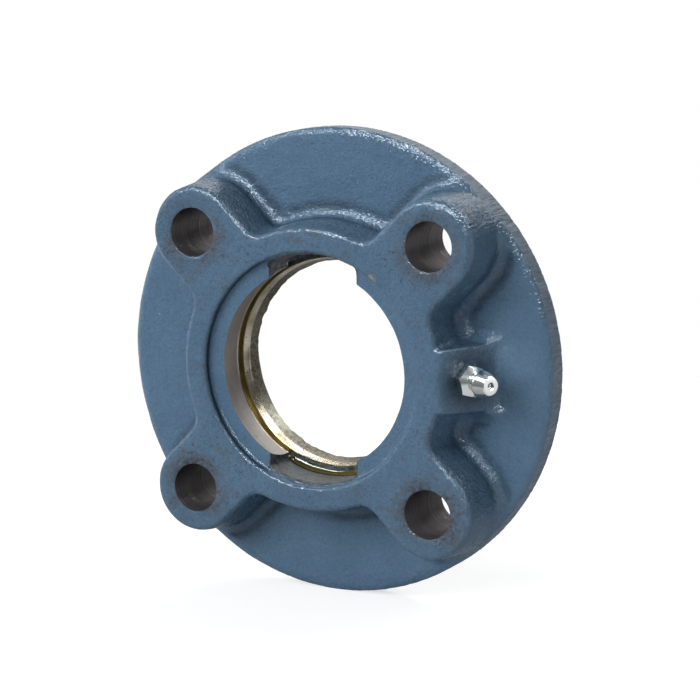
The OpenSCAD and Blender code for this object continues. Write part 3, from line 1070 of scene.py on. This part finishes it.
def paint_material():
    material, tree, shader, where = new_material("steel_blue_paint", IOR=1.5)
    grain = use_group(tree, CAST_GRAIN, {"Where": where, "Lumps": 1.0, "Peel": 1.0})
    front = ramp(tree, parts_of(tree, where)["Y"], -FACE_FROM * MM, -FACE_FULL * MM)
    tone = noise(tree, where, 14.0, detail=5.0, roughness=0.6)
    color = mix_color(tree, ramp(tree, tone, 0.3, 0.7), BLUE, BLUE_PALE)
    mottle = noise(tree, where, 0.6, detail=2.0)
    mottled = times(tree, ramp(tree, mottle, 0.60, 0.36), times_plus(tree, front, 0.2, 0.36))
    color = mix_color(tree, mottled, color, BLUE_DARK)
    color, stained = stained_paint(tree, where, color, front)
    # This adds a painted highlight on exposed edges, and painted shade in corners and round the nipple.
    color, grime_and_shade = worn_paint_and_painted_light(tree, where, color, grain["Tone"], tone, mottle)

    facing = add_node(tree, "ShaderNodeNewGeometry").outputs["True Normal"]
    steepness = math_node(tree, "ABSOLUTE", parts_of(tree, facing)["Y"])
    walls = ramp(tree, steepness, 0.6, 0.2)
    gloss = times(tree, times_plus(tree, grime_and_shade, -0.4, 0.5), times_plus(tree, walls, -0.6, 1.0))
    tree.links.new(gloss, shader.inputs["Specular IOR Level"])
    rough = times_plus(tree, grain["Tone"], 0.12, 0.08)
    rough = times_plus(tree, math_node(tree, "ADD", stained, grime_and_shade), 0.3, rough)
    rough = times_plus(tree, walls, 0.12, rough)
    height = times(tree, grain["Height"], times_plus(tree, front, -0.2, 1.0))
    drawn = vector_node(tree, "MULTIPLY", where, DRAWN_SCALE)
    scratches = noise(tree, drawn, 0.9, detail=3.0, roughness=0.6)
    height = times_plus(tree, times(tree, scratches, walls), 0.9, height)
    finish_surface(tree, shader, color, rough, height, 0.36)
    return material


PAINT = paint_material()

# %% [markdown]
# Where a tool has cut, the iron is bare: rings of the tool catch the light, and a thin stain
# of rust or oil dulls part of it. One function serves the turned back, the drilled holes and
# the groove, which differ in colour, in the distance of the rings and in gloss. With wide
# faint rings it also serves the relief behind the seat, which is bare but still as cast.

# %% Bare iron: turned back, drilled holes, groove and relief
def machined_iron(name, bright, dull, pitch, rough, along=1.0, depth_mm=0.02, metallic=1.0):
    material, tree, shader, where = new_material(name, Metallic=metallic)
    marks = use_group(tree, TOOL_MARKS, {"Where": where, "Along": along, "Pitch": pitch})
    stain = times(tree, blotches(tree, where, 5.0, 0.5, 0.2), 0.6)
    color = mix_color(tree, stain, bright, dull)
    polished = tuple(1.7 * c for c in bright)
    color = mix_color(tree, ramp(tree, marks["Streak"], 0.45, 0.75), color, polished)
    finish_surface(tree, shader, color, spread(tree, marks["Streak"], *rough), marks["Height"], depth_mm)
    return material


TURNED_BACK = machined_iron(
    "turned_back",
    (0.36, 0.35, 0.34),
    (0.26, 0.24, 0.22),
    pitch=0.25,
    rough=(0.3, 0.42),
    along=0.0,
)
DRILLED_HOLE = machined_iron(
    "drilled_hole",
    (0.062, 0.050, 0.051),
    (0.024, 0.020, 0.022),
    pitch=0.5,
    rough=(0.3, 0.5),
    depth_mm=0.24,
    metallic=0.6,
)
GREASED_GROOVE = machined_iron(
    "greased_groove",
    (0.34, 0.265, 0.115),
    (0.15, 0.12, 0.055),
    pitch=0.4,
    rough=(0.16, 0.3),
    metallic=0.7,
)
CAST_RELIEF = machined_iron(
    "cast_relief",
    (0.12, 0.14, 0.15),
    (0.08, 0.08, 0.07),
    pitch=3.0,
    rough=(0.4, 0.6),
    depth_mm=0.1,
    metallic=0.2,
)

# %% [markdown]
# The seat changes from front to rear. In front of the groove it is clean, grey, finely turned
# iron. Behind the groove a film of grease makes it bright and golden, and its last land at
# the rear is dull and speckled. Three colours are mixed by the place along the bore.

# %% Bearing seat
SEAT_CLEAN = ((0.20, 0.178, 0.165), (0.33, 0.30, 0.28))
SEAT_OILY = ((0.34, 0.29, 0.19), (0.62, 0.58, 0.48))
SEAT_DULL = ((0.085, 0.076, 0.054), (0.23, 0.21, 0.165))
SEAT_PIT = (0.05, 0.04, 0.03)
REAR_LAND_FROM, REAR_LAND_FULL = 4.4, 4.1


def seat_material():
    material, tree, shader, where = new_material("bearing_seat", Metallic=1.0)
    marks = use_group(tree, TOOL_MARKS, {"Where": where, "Along": 1.0, "Pitch": 0.15})
    back = parts_of(tree, where)["Y"]
    groove_front = -(GROOVE_H + GROOVE_W / 2) * MM
    behind = ramp(tree, back, groove_front - 0.9 * MM, groove_front)
    rear = ramp(tree, back, -REAR_LAND_FROM * MM, -REAR_LAND_FULL * MM)
    cloud = noise(tree, where, 7.0, detail=4.0, roughness=0.6)
    clean = mix_color(tree, cloud, *SEAT_CLEAN)
    oily = mix_color(tree, ramp(tree, cloud, 0.35, 0.65), *SEAT_OILY)
    speckle = noise(tree, where, 0.8, detail=4.0, roughness=0.7)
    dull = mix_color(tree, ramp(tree, speckle, 0.35, 0.65), *SEAT_DULL)
    color = mix_color(tree, rear, mix_color(tree, behind, clean, oily), dull)
    pits = blotches(tree, where, 0.8, 0.22, 0.03)
    color = mix_color(tree, times(tree, pits, 0.7), color, SEAT_PIT)
    rough = times_plus(tree, behind, -0.40, spread(tree, marks["Streak"], 0.44, 0.56))
    rough = times_plus(tree, rear, 0.26, rough)
    height = times_plus(tree, pits, -3.0, marks["Height"])
    finish_surface(tree, shader, color, rough, height, 0.02)
    return material


SEAT_IRON = seat_material()

# %% [markdown]
# The bearing is put in crosswise through two slots, which are left as cast, dark and rough.
# Oil has run out of the groove into the lower slot and lies on its floor as a smooth film of
# green gold, so the film is kept to faces that look up.

# %% Loading slots
SLOT_DARK = (0.012, 0.019, 0.022)
SLOT_PALE = (0.070, 0.095, 0.11)
OIL_FILM = (0.085, 0.070, 0.012)
OIL_FROM, OIL_FULL = 9.6, 8.6


def slot_material():
    material, tree, shader, where = new_material("slot_iron", IOR=1.5)
    grain = use_group(tree, CAST_GRAIN, {"Where": where, "Lumps": 1.0, "Peel": 1.0})
    wrinkles = noise(tree, where, 1.6, detail=4.0, roughness=0.7, distortion=0.8)
    color = mix_color(tree, ramp(tree, wrinkles, 0.35, 0.65), SLOT_DARK, SLOT_PALE)
    facing = add_node(tree, "ShaderNodeNewGeometry").outputs["True Normal"]
    lower_floor = ramp(tree, parts_of(tree, facing)["Z"], 0.1, 0.3)
    oil = ramp(tree, parts_of(tree, where)["Y"], -OIL_FROM * MM, -OIL_FULL * MM)
    oil = times(tree, oil, lower_floor)
    color = mix_color(tree, oil, color, OIL_FILM)
    rough = times_plus(tree, oil, -0.32, 0.36)
    height = math_node(tree, "ADD", grain["Height"], wrinkles)
    height = times(tree, height, times_plus(tree, oil, -0.96, 1.0))
    finish_surface(tree, shader, color, rough, height, 0.4)
    return material


SLOT_IRON = slot_material()

# %% [markdown]
# The rim was ground and then lightly painted over. Its colours are paler than that thin paint
# alone: painted light that stands for the light the white table throws onto the right of the
# rim. The grinding marks run across it, along the axis of the bore. Noise that is stretched in
# one direction makes them: we hand it the angle round the rim, many times enlarged, and the
# place along the axis.

# %% Ground rim
# Grey-blue of the thin paint, made paler as painted light from the table at the right.
RIM_DARK = (0.070, 0.112, 0.160)
RIM_PALE = (0.175, 0.245, 0.325)
RIM_PATCH = (0.05, 0.10, 0.16)
TICK_W = 0.7
TICK_LEN = 5.0


def rim_material():
    material, tree, shader, where = new_material("ground_rim", IOR=1.5, Specular_IOR_Level=0.3)
    parts = parts_of(tree, where)
    angle = math_node(tree, "ARCTAN2", parts["Z"], parts["X"])
    around = times(tree, angle, RIM_R / TICK_W)
    along = times(tree, parts["Y"], 1 / (TICK_LEN * MM))
    lay = add_node(tree, "ShaderNodeCombineXYZ", {"X": around, "Y": along}).outputs["Vector"]
    tick_values = {"Vector": lay, "Scale": 1.0, "Detail": 4.0, "Roughness": 0.65}
    ticks = add_node(tree, "ShaderNodeTexNoise", tick_values).outputs["Fac"]
    color = mix_color(tree, ramp(tree, ticks, 0.33, 0.66), RIM_DARK, RIM_PALE)
    patches = times(tree, blotches(tree, where, 6.0, 0.5, 0.15), 0.5)
    color = mix_color(tree, patches, color, RIM_PATCH)
    rough = times_plus(tree, ticks, 0.2, 0.35)
    finish_surface(tree, shader, color, rough, ticks, 0.44)
    return material


GROUND_RIM = rim_material()

# %% [markdown]
# The nipple is zinc plated, and ball and spring are bare polished steel. All three are plain
# bright metal, so one short function makes them: a slight cloud in the colour and a fine
# unevenness in the gloss keep them from looking like flawless chrome.

# %% Zinc plate, ball steel and spring wire
def bright_metal(name, color, rough, depth_mm=0.004):
    material, tree, shader, where = new_material(name, Metallic=1.0)
    cloud = noise(tree, where, 0.8, detail=3.0)
    fine = noise(tree, where, 0.12, detail=2.0)
    shade = mix_color(tree, cloud, tuple(0.85 * c for c in color), color)
    finish_surface(tree, shader, shade, times_plus(tree, fine, 0.12, rough), fine, depth_mm)
    return material


def cover(piece, finish):
    """One finish all over, with smooth shading."""
    piece.data.materials.clear()
    piece.data.materials.append(finish)
    piece.data.polygons.foreach_set("use_smooth", np.ones(len(piece.data.polygons), dtype=bool))
    print(piece.name, "is covered with", finish.name)


cover(nipple, bright_metal("zinc_plate", (0.88, 0.91, 0.90), 0.13))
cover(ball, bright_metal("polished_ball", (0.45, 0.46, 0.48), 0.05, 0.001))
cover(spring, bright_metal("spring_wire", (0.55, 0.56, 0.58), 0.2))
nipple.data.set_sharp_from_angle(angle=math.radians(24))

# %% [markdown]
# The finishes of the casting go onto it in the order in which its faces were sorted. Taking
# the old materials off sets every face back to the first one, so each face then gets the
# number of its own finish once more.

# %% Finishes of the casting
FINISHES = {
    "cast": PAINT,
    "rim": GROUND_RIM,
    "back": TURNED_BACK,
    "hole": DRILLED_HOLE,
    "seat": SEAT_IRON,
    "groove": GREASED_GROOVE,
    "relief": CAST_RELIEF,
    "slot": SLOT_IRON,
}
casting.data.materials.clear()
for name in SLOTS:
    casting.data.materials.append(FINISHES[name])
casting.data.polygons.foreach_set("material_index", kinds)
print("finishes on the casting:", [material.name for material in casting.data.materials])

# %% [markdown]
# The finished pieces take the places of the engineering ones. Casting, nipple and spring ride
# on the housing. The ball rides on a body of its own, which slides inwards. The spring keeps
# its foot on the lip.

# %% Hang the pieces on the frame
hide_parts("housing")
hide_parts("grease_nipple_body")
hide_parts("grease_nipple_ball")
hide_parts("grease_nipple_spring")
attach(casting, "housing")
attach(nipple, "housing")
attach(spring, "housing")
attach(ball, "check_ball")
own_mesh(spring)

# %% [markdown]
# The housing stands on its rim, on a white table in a white room. A table as bright as that
# would flood the object with light. So most of its white is added for the camera alone, and
# lights nothing, and the rest is a plain grey that takes the shadow. Far from the object the
# table glows all white. In the gloss of the paint it looks different again: dim in front and
# towards one corner behind, because a blue that mirrors white all over looks like chalk.

# %% Floor
FLOOR_HALF = 4.0
FLOOR_LEVEL = CAD_BOX[0][2]
FLOOR_FILL = 0.67
FLOOR_GREY = (0.42, 0.42, 0.42)
FLOOR_PALE = (0.68, 0.68, 0.69)
WHITE_FROM, WHITE_FULL = 0.16, 0.32
DARK_CORNER = {"X": 0.79, "Y": 0.61}


def floor_plane():
    half, level = FLOOR_HALF, FLOOR_LEVEL
    corners = [(-half, -half, level), (half, -half, level), (half, half, level), (-half, half, level)]
    mesh = bpy.data.meshes.new("floor")
    mesh.from_pydata(corners, [], [(0, 1, 2, 3)])
    return new_object("floor", mesh)


def floor_in_gloss(tree, away):
    """How bright the table looks in the object's gloss, by the heading seen from the object."""
    parts = parts_of(tree, vector_node(tree, "NORMALIZE", away))
    to_corner = math_node(tree, "ADD", *(times(tree, parts[part], DARK_CORNER[part]) for part in "XY"))
    bright = times(tree, ramp(tree, to_corner, 0.97, 0.86), ramp(tree, parts["Y"], -0.5, -0.05))
    return times_plus(tree, bright, 0.75, 0.15)


def camera_or_glass(tree, path):
    return math_node(tree, "MAXIMUM", path["Is Camera Ray"], path["Is Transmission Ray"])


def floor_material():
    material, tree, shader, where = new_material(
        "white_floor", Roughness=0.9, Emission_Color=(1, 1, 1, 1)
    )
    path = add_node(tree, "ShaderNodeLightPath").outputs
    fill = camera_or_glass(tree, path)
    tree.links.new(times(tree, fill, FLOOR_FILL), shader.inputs["Emission Strength"])
    at_right = ramp(tree, parts_of(tree, where)["X"], 0.0, 0.09)
    tree.links.new(mix_color(tree, at_right, FLOOR_GREY, FLOOR_PALE), shader.inputs["Base Color"])
    away = vector_node(tree, "ADD", where, (0, 0, -FLOOR_LEVEL))
    distance = vector_node(tree, "LENGTH", away, output="Value")
    seen = math_node(tree, "MAXIMUM", fill, path["Is Glossy Ray"])
    far = times(tree, seen, ramp(tree, distance, WHITE_FROM, WHITE_FULL))
    strength = mix_value(tree, path["Is Glossy Ray"], 1.0, floor_in_gloss(tree, away))
    white = add_node(tree, "ShaderNodeEmission", {"Strength": strength})
    surface = {0: far, 1: shader.outputs[0], 2: white.outputs[0]}
    mixed = add_node(tree, "ShaderNodeMixShader", surface)
    tree.links.new(mixed.outputs[0], tree.nodes["Material Output"].inputs["Surface"])
    return material


floor = floor_plane()
floor.data.materials.append(floor_material())
print("floor at", round(FLOOR_LEVEL / MM, 1), "mm, all white from", round(WHITE_FULL / MM), "mm off")

# %% [markdown]
# The sky is made in the same three ways. The camera sees it white. Its light is soft and comes
# mostly from the left. The gloss mirrors a room that is brighter behind the object than in
# front of it, with a dark flag at the right back that keeps the right-hand walls deep blue.

# %% Sky
SKY_LIGHT = 0.34
FLAG_DIRECTION = (0.66, 0.75, 0.08)


def white_sky():
    world = bpy.data.worlds.new("studio")
    bpy.context.scene.world = world
    world.use_nodes = True
    tree = world.node_tree
    direction = add_node(tree, "ShaderNodeTexCoord").outputs["Generated"]
    parts = parts_of(tree, direction)
    from_left = ramp(tree, parts["X"], 0.5, -0.5)
    light = times_plus(tree, from_left, 0.85 * SKY_LIGHT, 0.15 * SKY_LIGHT)
    mirrored = times_plus(tree, ramp(tree, parts["Y"], -0.3, 0.4), 0.33, 0.2)
    flag = vector_node(tree, "DOT_PRODUCT", direction, FLAG_DIRECTION, output="Value")
    mirrored = times(tree, mirrored, ramp(tree, flag, 0.97, 0.84))
    path = add_node(tree, "ShaderNodeLightPath").outputs
    strength = mix_value(tree, path["Is Glossy Ray"], light, mirrored)
    strength = mix_value(tree, camera_or_glass(tree, path), strength, 1.0)
    background = tree.nodes["Background"]
    background.inputs["Color"].default_value = (1, 1, 1, 1)
    tree.links.new(strength, background.inputs["Strength"])


white_sky()
print("sky light", SKY_LIGHT, "at the left,", round(0.15 * SKY_LIGHT, 3), "at the right")

# %% [markdown]
# A studio lamp does two jobs: it lights the object, and it shows in its gloss as a highlight.
# Here a lamp may do only one of them, so that light and highlights can be placed one by one.
# A big soft lamp in front lights the blue evenly. Narrow strips above and behind draw the
# thin bright lines along the rounded edges and make the grain sparkle.

# %% Lamps
SKY_TINT = (0.82, 0.94, 1.0)


def softbox(name, place, size, watts, tint=(1, 1, 1), lights=True, mirrored=True):
    """An area lamp aimed at the object. It may only light it, or only show in its gloss."""
    lamp = bpy.data.lights.new(name, "AREA")
    lamp.shape = "RECTANGLE"
    lamp.size, lamp.size_y = size
    lamp.energy = watts
    lamp.color = tint
    box = new_object(name, lamp)
    box.visible_diffuse = lights
    box.visible_glossy = mirrored
    box.location = place
    box.rotation_euler = (-Vector(place)).to_track_quat("-Z", "Y").to_euler()


def highlight(name, place, size, watts):
    """A cool lamp that only shows in the gloss."""
    softbox(name, place, size, watts, SKY_TINT, lights=False)


highlight("overhead_strip", (-0.05, -0.70, 0.95), (1.4, 0.18), 29.5)
highlight("right_strip", (0.55, -0.85, 0.42), (0.10, 0.16), 1.6)
softbox("front_softbox", (-0.45, -1.05, 0.55), (0.9, 0.9), 15.5, mirrored=False)
softbox("left_softbox", (-0.95, -0.36, 0.50), (0.4, 0.6), 2.0)
softbox("back_strip", (0.10, 0.78, 0.66), (1.5, 0.18), 6.0)
highlight("top_right_softbox", (0.58, 0.22, 0.78), (0.35, 0.28), 8.0)
softbox("right_card", (1.00, 0.06, 0.02), (0.5, 0.5), 1.2)
print("lamps in W:", {lamp.name: round(lamp.energy, 1) for lamp in bpy.data.lights})

# %% [markdown]
# The camera stands where the photographer stood: a little to the right of the front and a
# little above it, some 58 cm away with a long lens.

# %% Camera
CAMERA_PLACE = Vector((0.27002, -0.51956, 0.10279))
CAMERA_AIM = Vector((0.00866, -0.01553, 0.00506))
FOCAL_MM = 123.67
ROLL = math.radians(-0.13)
lens = bpy.data.cameras.new("camera")
lens.lens = FOCAL_MM
lens.sensor_width = 36
camera = new_object("camera", lens)
turn = (CAMERA_AIM - CAMERA_PLACE).to_track_quat("-Z", "Y").to_matrix() @ Matrix.Rotation(ROLL, 3, "Z")
camera.matrix_world = Matrix.Translation(CAMERA_PLACE) @ turn.to_4x4()
bpy.context.scene.camera = camera
bpy.context.scene.view_settings.view_transform = "Standard"
print("camera", round((CAMERA_AIM - CAMERA_PLACE).length, 3), "m from the part")
